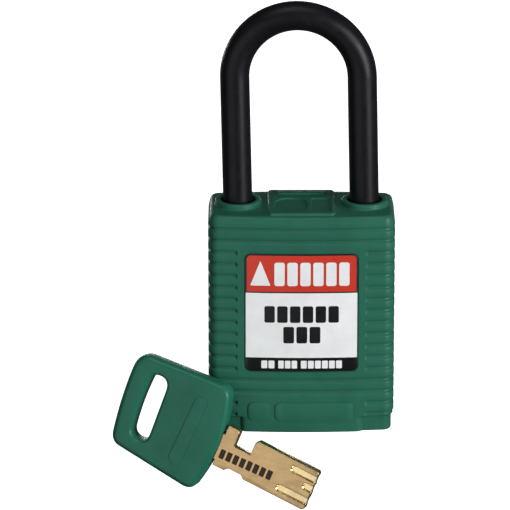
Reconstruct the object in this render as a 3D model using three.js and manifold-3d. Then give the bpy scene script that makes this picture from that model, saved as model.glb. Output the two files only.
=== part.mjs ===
// Safety padlock with its key: a moulded body, a bent-rod shackle, a sliding-bolt
// lock driven by a slider cylinder, and a flat key held in front of the body.
// Millimetres, +Z up, the labelled front faces -Y.
// The origin is the inner crown of the shackle, where the lock hangs on a hasp.

import * as THREE from "three";
import { mergeVertices } from "three/addons/utils/BufferGeometryUtils.js";
import Module from "manifold-3d";

const wasm = await Module();
wasm.setup();

// ---------------------------------------------------------------- driving dimensions
// Heights are measured from the underside of the bottom cover.

const BODY_WIDTH = 39.5;
const BODY_DEPTH = 20.0; // at the middle of the crowned faces
const FACE_CROWN = 1.3; // how far the front and back faces fall away towards the sides
const CORNER_RADIUS = 2.5;
const BODY_TOP = 48.1;
const EDGE_ROUND = 0.7;

const FOOT_INSET = 0.55; // below the ribs the body draws in, except under the front band
const FOOT_TOP = 3.5;
const FOOT_ROUND = 0.5;
const COVER_TOP = 3.45;
const COVER_INSET = 1.95; // the cover is let into the underside
const COVER_GAP = 0.15;
const COVER_ROUND = 0.3;
const SHELL_FLOOR = 3.75; // ledge inside the foot, just above the cover

const GROOVE_COUNT = 17;
const GROOVE_PITCH = 2.58;
const GROOVE_TOP_Z = 45.25; // middle of the highest groove
const GROOVE_HEIGHT = 1.0;
const GROOVE_DEPTH = 0.35;
const PANEL_HALF_WIDTH = 13.5; // smooth field that carries a label
const PANEL_LOW = 13.0;
const PANEL_HIGH = 41.35;
const BAND_HALF_WIDTH = 12.8; // smooth field at the foot of the front
const BAND_HIGH = 7.85;

const LABEL_HALF_WIDTH = 11.85;
const LABEL_LOW = 13.95;
const LABEL_HIGH = 40.1;
const LABEL_THICK = 0.25;
const LABEL_CORNER = 1.2;
const LABEL_RECESS = 0.2;
const RECESS_GROW = 0.25; // the recess is this much larger than the plate all round
const LABEL_GAP = 0.1;

const COLLAR_RADIUS = 4.95;
const COLLAR_HEIGHT = 1.2;
const COLLAR_MOUTH = 3.75;
const PAD_HALF_WIDTH = 7.05;
const PAD_HALF_DEPTH = 8.4;
const PAD_HEIGHT = 0.55;

const SHACKLE_RADIUS = 3.1;
const LEG_X = 13.4; // heel at -LEG_X, toe at +LEG_X
const CLEAR_HEIGHT = 38.3; // from the top of the body to the inner crown
const INNER_CROWN = BODY_TOP + CLEAR_HEIGHT;
const ARCH_Z = INNER_CROWN + SHACKLE_RADIUS - LEG_X; // centre of the arch
const TOE_END = 37.8;
const HEEL_END = 17.5;
const LEG_BORE = 3.4;
const TOE_BORE_END = 36.6;
const HEEL_SHOULDER = 32.0; // the captive clip stops here when the shackle is up
const HEEL_CHAMBER = 4.1;
const HEEL_CLIP_LOW = 18.8;
const HEEL_CLIP_THICK = 0.8;
const HEEL_GROOVE_RADIUS = 2.4;
const SHACKLE_LIFT = 12.0;
const PLUNGER_BOSS_RADIUS = 1.8;
const LIFT_COIL_RADIUS = 2.85; // the spring under the heel leg
const LIFT_WIRE_RADIUS = 0.42;
const LIFT_COIL_TURNS = 7;

const POCKET_HALF_WIDTH = 8.6;
const POCKET_HALF_DEPTH = 7.7;
const POCKET_TOP = 44.7;
const BLOCK_HALF_WIDTH = 8.2;
const BLOCK_HALF_DEPTH = 7.35;

const BOLT_LOW = 39.6;
const BOLT_HIGH = 43.6;
const BOLT_HALF_DEPTH = 2.8;
const BOLT_TIP = 9.9; // withdrawn; the bolts travel 2.4 outwards
const NOTCH_FLOOR = 12.5; // flat of a notch, measured from the middle of the lock
const RUN_GAP = 0.3;
const CUT_CLEAR = 1.5; // how far a cutting layer stands outside the face it cuts

const PLUG_RADIUS = 5.7;
const PLUG_BORE = 6.0;
const PLUG_FACE = 1.2;
const PLUG_FLANGE_RADIUS = 6.4;
const PLUG_FLANGE_TOP = 3.35;
const PLUG_TOP = 28.2;
const COVER_HOLE = 6.7;
const HOUSING_LOW = 3.8;
const HOUSING_HIGH = 26.2;
const CARRIER_LOW = 26.5;
const CARRIER_HIGH = 44.3;
const KEYWAY_HALF_WIDTH = 4.8;
const KEYWAY_HALF_THICK = 1.3;
const KEYWAY_END = 18.6;
const TANG_SLOT_HALF_WIDTH = 4.4;
const TANG_SLOT_HALF_THICK = 1.1;
const TANG_SLOT_LOW = 26.8;

const PLUG_CLIP_LOW = 26.5;
const PLUG_CLIP_HIGH = 27.1;
const PLUG_CLIP_GROOVE = 5.1;
const PLUG_CLIP_RADIUS = 6.6;
const CLIP_CHAMBER = 6.85;
const CLIP_CHAMBER_TOP = 31.5;

const CAM_DISC_RADIUS = 5.0;
const CAM_DISC_LOW = 29.7;
const CAM_DISC_HIGH = 31.2;
const SPINDLE_RADIUS = 2.6;
const SPINDLE_TOP = 38.9;
const CAM_PIN_RADIUS = 0.8;
const CAM_PIN_OFFSET = 1.2; // along X and along Y from the plug's axis
const CAM_PIN_TOP = 42.6;

const SLIDER_X = 2.6;
const SLIDER_Y = 2.0;
const SLIDER_RADIUS = 0.65;
const SLIDER_LOW = 9.6;
const SLIDER_HIGH = 19.6;
const SLIDER_COIL_RADIUS = 0.56;
const SLIDER_WIRE_RADIUS = 0.13;
const SLIDER_COIL_TURNS = 5;
const CHANNEL_RADIUS = 0.95;
const CHANNEL_LOW = 8.6;

const SIDEBAR_HALF_WIDTH = 0.8;
const SIDEBAR_INNER = 4.1;
const SIDEBAR_OUTER = 5.5;
const SIDEBAR_LOW = 12.0;
const SIDEBAR_HIGH = 24.0;

const COVER_PIN_X = 15.8;
const COVER_PIN_Y = 5.4;
const COVER_PIN_RADIUS = 1.0;
const COVER_PIN_HEAD = 1.5; // radius of the head, which is let into the cover
const COVER_PIN_LOW = 0.3;
const COVER_PIN_HEAD_TOP = 1.1;
const COVER_PIN_TOP = 12.0;

const KEY_TURN = THREE.MathUtils.degToRad(17.5); // the key's face looks a little to the left
const KEY_LEAN = THREE.MathUtils.degToRad(8); // and a little upwards
const KEY_TILT = THREE.MathUtils.degToRad(20.9); // the blade points down and to the right
const KEY_PLACE = new THREE.Vector3(-17.42, -15.5, -0.6); // middle of the blade's root
const BOW_THICK = 5.0;
const BOW_ROUND = 1.1;
const BLADE_THICK = 2.2;
const BLADE_LENGTH = 22.4;
const TRACK_DEPTH = 0.6;

const ROUND = 28; // segments of a large round piece
const FINE = 12; // segments of a small round piece

// ---------------------------------------------------------------- solids

function solidOf(geometry) {
  const bare = geometry.clone();
  bare.deleteAttribute("normal");
  bare.deleteAttribute("uv");
  const merged = mergeVertices(bare, 1e-4);
  const mesh = new wasm.Mesh({
    numProp: 3,
    vertProperties: merged.attributes.position.array,
    triVerts: new Uint32Array(merged.index.array),
  });
  return new wasm.Manifold(mesh);
}

function geometryOf(solid) {
  const mesh = solid.getMesh();
  const geometry = new THREE.BufferGeometry();
  const positions = new THREE.BufferAttribute(mesh.vertProperties, 3);
  geometry.setAttribute("position", positions);
  geometry.setIndex(new THREE.BufferAttribute(mesh.triVerts, 1));
  geometry.computeVertexNormals();
  return geometry;
}

function joined(first, ...others) {
  return others.reduce((whole, piece) => whole.add(piece), first);
}

function cut(solid, ...tools) {
  return tools.reduce((rest, tool) => rest.subtract(tool), solid);
}

function block(x0, x1, y0, y1, z0, z1) {
  const box = new THREE.BoxGeometry(x1 - x0, y1 - y0, z1 - z0);
  box.translate((x0 + x1) / 2, (y0 + y1) / 2, (z0 + z1) / 2);
  return solidOf(box);
}

function rod(x, y, z0, z1, radius, segments = ROUND) {
  const cylinder = new THREE.CylinderGeometry(radius, radius, z1 - z0, segments);
  cylinder.rotateX(Math.PI / 2);
  cylinder.translate(x, y, (z0 + z1) / 2);
  return solidOf(cylinder);
}

// A solid of revolution about Z from [radius, height] points that close on themselves.
function turned(points, x = 0, y = 0, segments = ROUND) {
  const profile = [...points, points[0]].map(([r, z]) => new THREE.Vector2(r, z));
  const lathe = new THREE.LatheGeometry(profile, segments);
  lathe.rotateX(Math.PI / 2);
  lathe.translate(x, y, 0);
  return solidOf(lathe);
}

function prism(shape, z0, z1, curveSegments = 4) {
  const options = { depth: z1 - z0, bevelEnabled: false, curveSegments };
  const geometry = new THREE.ExtrudeGeometry(shape, options);
  geometry.translate(0, 0, z0);
  return solidOf(geometry);
}

function clipRing(x, y, low, high, inner, outer, gap) {
  const ring = cut(rod(x, y, low, high, outer), rod(x, y, low - 1, high + 1, inner));
  return cut(ring, block(x - outer - 1, x, y - gap / 2, y + gap / 2, low - 1, high + 1));
}

class Helix extends THREE.Curve {
  constructor(x, y, low, high, radius, turns) {
    super();
    Object.assign(this, { x, y, low, high, radius, turns });
  }

  getPoint(t, target = new THREE.Vector3()) {
    const angle = 2 * Math.PI * this.turns * t;
    return target.set(
      this.x + this.radius * Math.cos(angle),
      this.y + this.radius * Math.sin(angle),
      THREE.MathUtils.lerp(this.low, this.high, t),
    );
  }
}

function roundSection(radius, segments) {
  const shape = new THREE.Shape();
  for (let i = 0; i < segments; i += 1) {
    const angle = (2 * Math.PI * i) / segments;
    const point = [radius * Math.cos(angle), radius * Math.sin(angle)];
    if (i === 0) shape.moveTo(...point);
    else shape.lineTo(...point);
  }
  shape.closePath();
  return shape;
}

// size is [coil radius, wire radius, turns] and detail is [steps in a turn, sides of the wire].
function coilSpring([x, y], low, high, size, detail) {
  const [radius, wire, turns] = size;
  const [stepsPerTurn, sides] = detail;
  const path = new Helix(x, y, low + wire, high - wire, radius, turns);
  const options = { steps: Math.round(turns * stepsPerTurn), extrudePath: path };
  return solidOf(new THREE.ExtrudeGeometry(roundSection(wire, sides), options));
}

// ---------------------------------------------------------------- body outline

function halfDepthAt(x) {
  return BODY_DEPTH / 2 - FACE_CROWN * (x / (BODY_WIDTH / 2)) ** 2;
}

// The body's plan, drawn inwards by inset: crowned front and back, rounded corners.
function bodyOutline(inset) {
  const halfWidth = BODY_WIDTH / 2 - inset;
  const radius = CORNER_RADIUS - inset;
  const straight = halfWidth - radius;
  const faceSteps = 8;
  const cornerSteps = 4;
  const front = [];
  for (let i = 0; i <= faceSteps; i += 1) {
    const x = THREE.MathUtils.lerp(-straight, straight, i / faceSteps);
    front.push([x, -(halfDepthAt(x) - inset)]);
  }
  const cornerY = -(halfDepthAt(straight) - inset - radius);
  for (let i = 1; i <= cornerSteps; i += 1) {
    const angle = -Math.PI / 2 + (Math.PI / 2) * (i / cornerSteps);
    front.push([straight + radius * Math.cos(angle), cornerY + radius * Math.sin(angle)]);
  }
  const frontLeft = [];
  for (let i = cornerSteps; i >= 1; i -= 1) {
    const angle = -Math.PI / 2 - (Math.PI / 2) * (i / cornerSteps);
    frontLeft.push([-straight + radius * Math.cos(angle), cornerY + radius * Math.sin(angle)]);
  }
  const lower = [...frontLeft, ...front];
  const upper = lower.map(([x, y]) => [-x, -y]);
  const points = [...lower, ...upper].map(([x, y]) => new THREE.Vector2(x, y));
  return new THREE.Shape(points);
}

// The outline raised into a block whose top edge, or bottom edge, is rounded over.
function moulding(inset, z0, z1, round, roundedTop) {
  const options = {
    depth: z1 - z0,
    bevelEnabled: true,
    bevelThickness: round,
    bevelSize: round,
    bevelSegments: 2,
  };
  const geometry = new THREE.ExtrudeGeometry(bodyOutline(inset + round), options);
  geometry.translate(0, 0, roundedTop ? z0 - round : z0 + round);
  const far = BODY_WIDTH;
  const trim = roundedTop
    ? block(-far, far, -far, far, z0 - far, z0)
    : block(-far, far, -far, far, z1, z1 + far);
  return cut(solidOf(geometry), trim);
}

// ---------------------------------------------------------------- body, cover and labels

function ribGrooves() {
  const outside = bodyOutline(-CUT_CLEAR);
  outside.holes.push(new THREE.Path(bodyOutline(GROOVE_DEPTH).getPoints().reverse()));
  const grooves = [];
  for (let i = 0; i < GROOVE_COUNT; i += 1) {
    const middle = GROOVE_TOP_Z - i * GROOVE_PITCH;
    grooves.push(prism(outside, middle - GROOVE_HEIGHT / 2, middle + GROOVE_HEIGHT / 2));
  }
  const all = joined(...grooves);
  const w = PANEL_HALF_WIDTH;
  const b = BAND_HALF_WIDTH;
  const far = BODY_DEPTH;
  const labelFields = block(-w, w, -far, far, PANEL_LOW, PANEL_HIGH);
  const frontBand = block(-b, b, -far, 0, 0, BAND_HIGH);
  return cut(all, labelFields, frontBand);
}

// The rounded upright rectangle of a label, as a block that reaches from y0 to y1.
function labelWindow(grow, y0, y1) {
  const w = LABEL_HALF_WIDTH + grow;
  const low = LABEL_LOW - grow;
  const high = LABEL_HIGH + grow;
  const r = LABEL_CORNER + grow;
  const shape = new THREE.Shape();
  shape.moveTo(-w + r, low);
  shape.lineTo(w - r, low);
  shape.quadraticCurveTo(w, low, w, low + r);
  shape.lineTo(w, high - r);
  shape.quadraticCurveTo(w, high, w - r, high);
  shape.lineTo(-w + r, high);
  shape.quadraticCurveTo(-w, high, -w, high - r);
  shape.lineTo(-w, low + r);
  shape.quadraticCurveTo(-w, low, -w + r, low);
  const options = { depth: y1 - y0, bevelEnabled: false, curveSegments: 3 };
  const geometry = new THREE.ExtrudeGeometry(shape, options);
  geometry.rotateX(Math.PI / 2);
  geometry.translate(0, y1, 0);
  return solidOf(geometry);
}

// A layer of the crowned face between two depths below the face; negative is proud of it.
function faceLayer(inner, outer) {
  const outside = bodyOutline(outer);
  outside.holes.push(new THREE.Path(bodyOutline(inner).getPoints().reverse()));
  return prism(outside, LABEL_LOW - 3, LABEL_HIGH + 3);
}

function labelRecess(y0, y1) {
  return faceLayer(LABEL_RECESS, -CUT_CLEAR).intersect(labelWindow(RECESS_GROW, y0, y1));
}

function label(y0, y1) {
  const back = LABEL_RECESS - LABEL_GAP;
  return faceLayer(back, back - LABEL_THICK).intersect(labelWindow(0, y0, y1));
}

function topDetails() {
  const top = BODY_TOP + COLLAR_HEIGHT;
  const collar = [
    [LEG_BORE, BODY_TOP - 1],
    [COLLAR_RADIUS, BODY_TOP - 1],
    [COLLAR_RADIUS, top - 0.5],
    [COLLAR_RADIUS - 0.4, top],
    [LEG_BORE, top],
  ];
  const w = PAD_HALF_WIDTH;
  const d = PAD_HALF_DEPTH;
  return joined(
    turned(collar, -LEG_X, 0),
    turned(collar, LEG_X, 0),
    block(-w, w, -d, d, BODY_TOP - 1, BODY_TOP + PAD_HEIGHT),
  );
}

function legBores() {
  const top = BODY_TOP + COLLAR_HEIGHT + 1;
  const mouthLow = BODY_TOP - 1.8;
  return [
    rod(LEG_X, 0, TOE_BORE_END, top, LEG_BORE),
    rod(-LEG_X, 0, HEEL_SHOULDER - 1, top, LEG_BORE),
    rod(-LEG_X, 0, 0, HEEL_SHOULDER, HEEL_CHAMBER),
    rod(LEG_X, 0, mouthLow, top, COLLAR_MOUTH),
    rod(-LEG_X, 0, mouthLow, top, COLLAR_MOUTH),
  ];
}

function coverPinPlaces() {
  return [
    ["cover_pin_front_left", -COVER_PIN_X, -COVER_PIN_Y],
    ["cover_pin_back_right", COVER_PIN_X, COVER_PIN_Y],
  ];
}

// The smooth band at the foot of the front comes down flush with the ribs.
function footBand() {
  const foot = moulding(0, 0, FOOT_TOP + 0.1, FOOT_ROUND, false);
  const b = BAND_HALF_WIDTH;
  return foot.intersect(block(-b, b, -BODY_DEPTH, 0, -1, FOOT_TOP + 1));
}

function bodyShell() {
  const w = POCKET_HALF_WIDTH;
  const d = POCKET_HALF_DEPTH;
  const window = BOLT_HALF_DEPTH + 0.4;
  const lowWindow = BOLT_LOW - 0.4;
  const highWindow = BOLT_HIGH + 0.4;
  const outer = joined(
    moulding(0, FOOT_TOP, BODY_TOP, EDGE_ROUND, true),
    moulding(FOOT_INSET, 0, FOOT_TOP + 0.1, FOOT_ROUND, false),
    footBand(),
    topDetails(),
  );
  const pinHoles = coverPinPlaces().map(([, x, y]) =>
    rod(x, y, 0, COVER_PIN_TOP + 0.4, COVER_PIN_RADIUS + RUN_GAP, FINE),
  );
  return cut(
    outer,
    ribGrooves(),
    prism(bodyOutline(COVER_INSET - COVER_GAP), -1, SHELL_FLOOR),
    labelRecess(-BODY_DEPTH, 0),
    labelRecess(0, BODY_DEPTH),
    block(-w, w, -d, d, 0, POCKET_TOP),
    block(-LEG_X, LEG_X, -window, window, lowWindow, highWindow),
    ...legBores(),
    ...pinHoles,
  );
}

function bottomCover() {
  const plate = moulding(COVER_INSET, 0, COVER_TOP, COVER_ROUND, false);
  const holes = coverPinPlaces().flatMap(([, x, y]) => [
    rod(x, y, -1, COVER_TOP + 1, COVER_PIN_RADIUS + RUN_GAP, FINE),
    rod(x, y, -1, COVER_PIN_HEAD_TOP + RUN_GAP, COVER_PIN_HEAD + RUN_GAP, FINE),
  ]);
  return cut(plate, rod(0, 0, -1, COVER_TOP + 1, COVER_HOLE), ...holes);
}

function coverPin(x, y) {
  const shank = rod(x, y, COVER_PIN_LOW + 0.1, COVER_PIN_TOP, COVER_PIN_RADIUS, FINE);
  return joined(shank, rod(x, y, COVER_PIN_LOW, COVER_PIN_HEAD_TOP, COVER_PIN_HEAD, FINE));
}

// ---------------------------------------------------------------- shackle and its spring

class ShacklePath extends THREE.CurvePath {
  constructor() {
    super();
    const heelLow = new THREE.Vector3(-LEG_X, 0, HEEL_END);
    const heelHigh = new THREE.Vector3(-LEG_X, 0, ARCH_Z);
    const toeHigh = new THREE.Vector3(LEG_X, 0, ARCH_Z);
    const toeLow = new THREE.Vector3(LEG_X, 0, TOE_END);
    this.add(new THREE.LineCurve3(heelLow, heelHigh));
    this.add(new Arch());
    this.add(new THREE.LineCurve3(toeHigh, toeLow));
  }
}

class Arch extends THREE.Curve {
  getPoint(t, target = new THREE.Vector3()) {
    const angle = Math.PI * (1 - t);
    return target.set(LEG_X * Math.cos(angle), 0, ARCH_Z + LEG_X * Math.sin(angle));
  }
}

function shackle() {
  const section = roundSection(SHACKLE_RADIUS, 16);
  const options = { steps: 46, extrudePath: new ShacklePath() };
  const bar = solidOf(new THREE.ExtrudeGeometry(section, options));
  const low = BOLT_LOW - RUN_GAP;
  const high = BOLT_HIGH + RUN_GAP;
  const far = 5;
  const toeNotch = block(LEG_X - far, NOTCH_FLOOR, -far, far, low, high);
  const heelNotch = block(-NOTCH_FLOOR, -LEG_X + far, -far, far, low, high);
  const openLow = low - SHACKLE_LIFT;
  const openHigh = high - SHACKLE_LIFT;
  const reliefs = [
    block(-NOTCH_FLOOR, -LEG_X + far, -far, far, openLow, openHigh),
    block(-LEG_X - far, -2 * LEG_X + NOTCH_FLOOR, -far, far, openLow, openHigh),
  ];
  const grooveLow = HEEL_CLIP_LOW - 0.2;
  const grooveHigh = HEEL_CLIP_LOW + HEEL_CLIP_THICK + 0.2;
  const clipGroove = cut(
    rod(-LEG_X, 0, grooveLow, grooveHigh, far),
    rod(-LEG_X, 0, 0, BODY_TOP, HEEL_GROOVE_RADIUS),
  );
  return cut(bar, toeNotch, heelNotch, ...reliefs, clipGroove);
}

function heelRetainingClip() {
  const high = HEEL_CLIP_LOW + HEEL_CLIP_THICK;
  const inner = HEEL_GROOVE_RADIUS + 0.2;
  return clipRing(-LEG_X, 0, HEEL_CLIP_LOW, high, inner, HEEL_CHAMBER - 0.3, 3.2);
}

function springPlunger() {
  const top = HEEL_END - 0.3;
  const disc = rod(-LEG_X, 0, top - 2, top, HEEL_CHAMBER - 0.35);
  return joined(disc, rod(-LEG_X, 0, top - 4.4, top - 1, PLUNGER_BOSS_RADIUS));
}

function shackleSpring() {
  const size = [LIFT_COIL_RADIUS, LIFT_WIRE_RADIUS, LIFT_COIL_TURNS];
  return coilSpring([-LEG_X, 0], SHELL_FLOOR, HEEL_END - 2.5, size, [12, 6]);
}

// ---------------------------------------------------------------- cylinder

function sliderPlaces() {
  const rows = [];
  for (const side of [-1, 1]) {
    for (const x of [0, -SLIDER_X, SLIDER_X]) rows.push([x, side * SLIDER_Y]);
  }
  return rows;
}

function cylinderHousing() {
  const w = BLOCK_HALF_WIDTH;
  const d = BLOCK_HALF_DEPTH;
  const slot = SIDEBAR_HALF_WIDTH + 0.4;
  const reach = 6.8;
  const low = SIDEBAR_LOW - 0.5;
  const high = SIDEBAR_HIGH + 0.5;
  return cut(
    block(-w, w, -d, d, HOUSING_LOW, HOUSING_HIGH),
    rod(0, 0, 0, BODY_TOP, PLUG_BORE),
    block(-slot, slot, -reach, reach, low, high),
    block(-reach, reach, -slot, slot, low, high),
  );
}

function cylinderPlug() {
  const w = KEYWAY_HALF_WIDTH;
  const t = KEYWAY_HALF_THICK;
  const s = SIDEBAR_HALF_WIDTH + 0.3;
  const low = SIDEBAR_LOW - RUN_GAP;
  const high = SIDEBAR_HIGH + RUN_GAP;
  const inner = SIDEBAR_INNER - 0.35;
  const grooveLow = PLUG_CLIP_LOW - 0.15;
  const grooveHigh = PLUG_CLIP_HIGH + 0.15;
  const clipGroove = cut(
    rod(0, 0, grooveLow, grooveHigh, PLUG_RADIUS + 1),
    rod(0, 0, 0, BODY_TOP, PLUG_CLIP_GROOVE),
  );
  const tw = TANG_SLOT_HALF_WIDTH;
  const tt = TANG_SLOT_HALF_THICK;
  const channels = sliderPlaces().map(([x, y]) =>
    rod(x, y, CHANNEL_LOW, PLUG_TOP + 1, CHANNEL_RADIUS, FINE),
  );
  const barrel = joined(
    rod(0, 0, PLUG_FACE, PLUG_FLANGE_TOP, PLUG_FLANGE_RADIUS),
    rod(0, 0, PLUG_FACE + 1, PLUG_TOP, PLUG_RADIUS),
  );
  return cut(
    barrel,
    clipGroove,
    block(-w, w, -t, t, 0, KEYWAY_END),
    block(-s, s, inner, PLUG_RADIUS + 1, low, high),
    block(-s, s, -PLUG_RADIUS - 1, -inner, low, high),
    block(-tw, tw, -tt, tt, TANG_SLOT_LOW, PLUG_TOP + 1),
    ...channels,
  );
}

function plugRetainingClip() {
  const inner = PLUG_CLIP_GROOVE + 0.15;
  return clipRing(0, 0, PLUG_CLIP_LOW, PLUG_CLIP_HIGH, inner, PLUG_CLIP_RADIUS, 5);
}

function springCap() {
  const disc = rod(0, 0, PLUG_TOP + 0.2, PLUG_TOP + 1.2, PLUG_RADIUS - 0.4);
  const w = TANG_SLOT_HALF_WIDTH;
  const t = TANG_SLOT_HALF_THICK;
  return cut(disc, block(-w, w, -t, t, PLUG_TOP, PLUG_TOP + 2));
}

function driveCam() {
  const w = TANG_SLOT_HALF_WIDTH - 0.3;
  const t = TANG_SLOT_HALF_THICK - 0.3;
  const p = CAM_PIN_OFFSET;
  return joined(
    block(-w, w, -t, t, TANG_SLOT_LOW + 0.3, CAM_DISC_LOW + 0.5),
    rod(0, 0, CAM_DISC_LOW, CAM_DISC_HIGH, CAM_DISC_RADIUS),
    rod(0, 0, CAM_DISC_HIGH - 0.5, SPINDLE_TOP, SPINDLE_RADIUS),
    rod(-p, -p, SPINDLE_TOP - 0.5, CAM_PIN_TOP, CAM_PIN_RADIUS, FINE),
    rod(p, p, SPINDLE_TOP - 0.5, CAM_PIN_TOP, CAM_PIN_RADIUS, FINE),
  );
}

function boltCarrier() {
  const w = BLOCK_HALF_WIDTH;
  const d = BLOCK_HALF_DEPTH;
  const channel = BOLT_HALF_DEPTH + RUN_GAP;
  const low = BOLT_LOW - RUN_GAP;
  const high = BOLT_HIGH + RUN_GAP;
  return cut(
    block(-w, w, -d, d, CARRIER_LOW, CARRIER_HIGH),
    rod(0, 0, CARRIER_LOW - 1, CLIP_CHAMBER_TOP, CLIP_CHAMBER),
    rod(0, 0, CLIP_CHAMBER_TOP - 1, BOLT_LOW, SPINDLE_RADIUS + 0.35),
    block(-w - 1, w + 1, -channel, channel, low, high),
  );
}

// One bolt, drawn for the toe side and turned half round for the heel side.
function latchBolt(side) {
  const d = BOLT_HALF_DEPTH;
  const pin = CAM_PIN_RADIUS + RUN_GAP;
  const p = -CAM_PIN_OFFSET;
  const solid = joined(
    block(3.0, BOLT_TIP, -d, d, BOLT_LOW, BOLT_HIGH),
    block(p - pin - 0.6, 3.5, -d, -0.25, BOLT_LOW, BOLT_HIGH),
  );
  const slot = block(p - pin, p + pin, -d - 1, d + 1, BOLT_LOW - 1, CAM_PIN_TOP + 0.3);
  const bolt = geometryOf(cut(solid, slot));
  if (side < 0) bolt.rotateZ(Math.PI);
  return bolt;
}

function slider(x, y) {
  const neckLow = SLIDER_LOW + 4.2;
  const neck = cut(
    rod(x, y, neckLow, neckLow + 0.9, SLIDER_RADIUS + 1, FINE),
    rod(x, y, 0, BODY_TOP, SLIDER_RADIUS - 0.25, FINE),
  );
  return cut(rod(x, y, SLIDER_LOW, SLIDER_HIGH, SLIDER_RADIUS, FINE), neck);
}

function sliderSpring(x, y) {
  const size = [SLIDER_COIL_RADIUS, SLIDER_WIRE_RADIUS, SLIDER_COIL_TURNS];
  return coilSpring([x, y], SLIDER_HIGH + 0.2, PLUG_TOP - 0.1, size, [7, 4]);
}

function sidebar(side) {
  const w = SIDEBAR_HALF_WIDTH;
  const near = side * SIDEBAR_INNER;
  const far = side * SIDEBAR_OUTER;
  const y0 = Math.min(near, far);
  const y1 = Math.max(near, far);
  return block(-w, w, y0, y1, SIDEBAR_LOW, SIDEBAR_HIGH);
}

// ---------------------------------------------------------------- key
// Drawn in its own plane: u along the blade towards the tip, v across it.
// u = 0 is the root of the blade.

// The outline's points with the closing one left out, because a bevel needs each once.
function openPoints(outline) {
  return outline.getPoints(5).slice(0, -1);
}

function bowShape() {
  const outline = new THREE.Shape();
  outline.moveTo(-20.5, 11.8);
  outline.lineTo(-4.9, 12.85);
  outline.quadraticCurveTo(-2.1, 13.0, -1.4, 10.4);
  outline.quadraticCurveTo(1.6, 0.6, -0.8, -9.3);
  outline.quadraticCurveTo(-1.2, -11.6, -3.8, -11.4);
  outline.lineTo(-19.7, -10.0);
  outline.quadraticCurveTo(-21.7, -9.8, -22.2, -7.6);
  outline.quadraticCurveTo(-23.6, 0.3, -23.6, 7.9);
  outline.quadraticCurveTo(-23.6, 11.6, -20.5, 11.8);
  const slot = new THREE.Path();
  slot.moveTo(-19.0, 6.3);
  slot.quadraticCurveTo(-19.0, 8.3, -17.0, 8.35);
  slot.quadraticCurveTo(-15.2, 8.3, -14.9, 6.3);
  slot.lineTo(-14.4, -4.4);
  slot.quadraticCurveTo(-14.4, -6.5, -16.3, -6.6);
  slot.quadraticCurveTo(-18.1, -6.6, -18.5, -4.9);
  slot.quadraticCurveTo(-19.3, 0.9, -19.0, 6.3);
  const bow = new THREE.Shape(openPoints(outline));
  bow.holes.push(new THREE.Path(openPoints(slot).reverse()));
  return bow;
}

function keyBow() {
  const options = {
    depth: BOW_THICK - 2 * BOW_ROUND,
    bevelEnabled: true,
    bevelThickness: BOW_ROUND,
    bevelSize: BOW_ROUND,
    bevelOffset: -BOW_ROUND,
    bevelSegments: 2,
  };
  const geometry = new THREE.ExtrudeGeometry(bowShape(), options);
  geometry.translate(0, 0, BOW_ROUND - BOW_THICK / 2);
  const half = BLADE_THICK / 2 + RUN_GAP;
  return cut(solidOf(geometry), block(-6.3, 3, -3.3, 3.3, -half, half));
}

function keyBlade() {
  const shape = new THREE.Shape();
  shape.moveTo(-6.0, -3.0);
  shape.lineTo(0.5, -3.0);
  shape.lineTo(0.5, -4.3);
  shape.lineTo(3.2, -4.3);
  shape.lineTo(4.0, -3.5);
  shape.lineTo(7.0, -3.5);
  shape.lineTo(7.8, -4.2);
  shape.lineTo(22.0, -4.2);
  shape.lineTo(BLADE_LENGTH, -3.8);
  shape.lineTo(BLADE_LENGTH, 4.55);
  shape.lineTo(22.0, 4.95);
  shape.lineTo(7.8, 4.95);
  shape.lineTo(7.2, 4.35);
  shape.lineTo(7.2, 1.45);
  shape.lineTo(3.3, 1.45);
  shape.lineTo(3.3, 4.65);
  shape.lineTo(2.8, 5.15);
  shape.lineTo(0.5, 5.15);
  shape.lineTo(0.5, 3.0);
  shape.lineTo(-6.0, 3.0);
  const half = BLADE_THICK / 2;
  const flat = prism(shape, -half, half);
  const tracks = [];
  for (const [middle, length] of [[3.05, 5.9], [0.8, 2.2], [-2.15, 7.3]]) {
    const u0 = BLADE_LENGTH - length;
    const u1 = BLADE_LENGTH + 1;
    const floor = half - TRACK_DEPTH;
    tracks.push(block(u0, u1, middle - 0.75, middle + 0.75, floor, half + 1));
    tracks.push(block(u0, u1, middle - 0.75, middle + 0.75, -half - 1, -floor));
  }
  return cut(flat, ...tracks);
}

// ---------------------------------------------------------------- materials

const GREEN_PLASTIC = { color: 0x2d6450, roughness: 0.5, metalness: 0 };
const BLACK_PLASTIC = { color: 0x1a1a1d, roughness: 0.45, metalness: 0 };
const LABEL_PRINT = { color: 0xd8dada, roughness: 0.4, metalness: 0 };
const BRASS = { color: 0xbea06a, roughness: 0.35, metalness: 1 };
const STEEL = { color: 0x9a9da0, roughness: 0.35, metalness: 1 };
const ZINC = { color: 0x7d8084, roughness: 0.5, metalness: 1 };
const SPRING_STEEL = { color: 0xb4b6b8, roughness: 0.3, metalness: 1 };

function named(name, shape, finish) {
  const geometry = shape.isBufferGeometry ? shape : geometryOf(shape);
  const mesh = new THREE.Mesh(geometry, new THREE.MeshStandardMaterial(finish));
  mesh.name = name;
  return mesh;
}

// ---------------------------------------------------------------- assembly

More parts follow.
